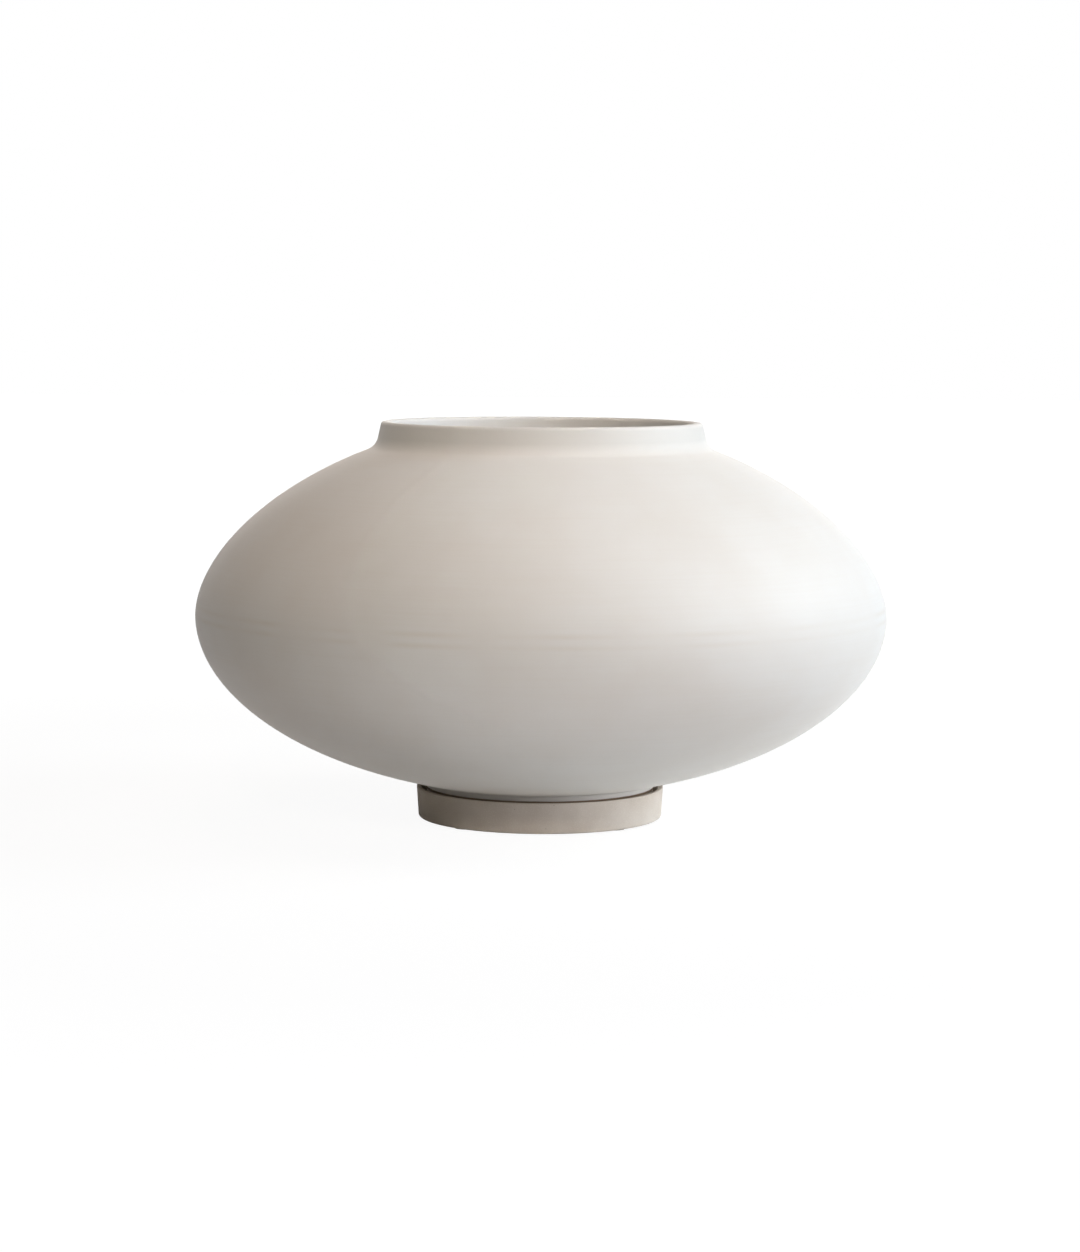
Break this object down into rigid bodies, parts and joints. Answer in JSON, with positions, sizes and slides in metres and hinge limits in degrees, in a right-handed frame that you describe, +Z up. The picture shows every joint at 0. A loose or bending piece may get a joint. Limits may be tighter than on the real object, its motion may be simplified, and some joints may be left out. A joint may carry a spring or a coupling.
{
  "type": "ceramic planter",
  "caption": "Low wide round ceramic planter: flattened belly, short collar at the mouth, narrow foot in a shallow saucer, loose drain screen inside and felt pads underneath.",
  "frame": {"origin": "on the surface that the planter stands on, under the pot's centre line", "axes": "+Z up along the pot's turning axis; the front of the picture faces -Y, and the felt pads lie half way between the X and Y axes"},
  "size_m": [0.3556, 0.3556, 0.2052],
  "materials": {
    "glazed_clay": "matt off-white glaze with fine turning lines",
    "bare_clay": "bare matt stoneware, warm grey",
    "screen_plastic": "moulded dark grey plastic",
    "pad_felt": "pressed grey felt"
  },
  "bodies": {
    "saucer": {"saucer": "bare_clay", "felt_pad_1": "pad_felt", "felt_pad_2": "pad_felt", "felt_pad_3": "pad_felt", "felt_pad_4": "pad_felt"},
    "pot": {"pot": "glazed_clay"},
    "drain_screen": {"drain_screen": "screen_plastic"}
  },
  "joints": [
    {"name": "pot_lift", "type": "slide", "parent": "saucer", "child": "pot", "axis": [0, 0, 1], "range_m": [0, 0.06]},
    {"name": "screen_lift", "type": "slide", "parent": "pot", "child": "drain_screen", "axis": [0, 0, 1], "range_m": [0, 0.2]}
  ]
}
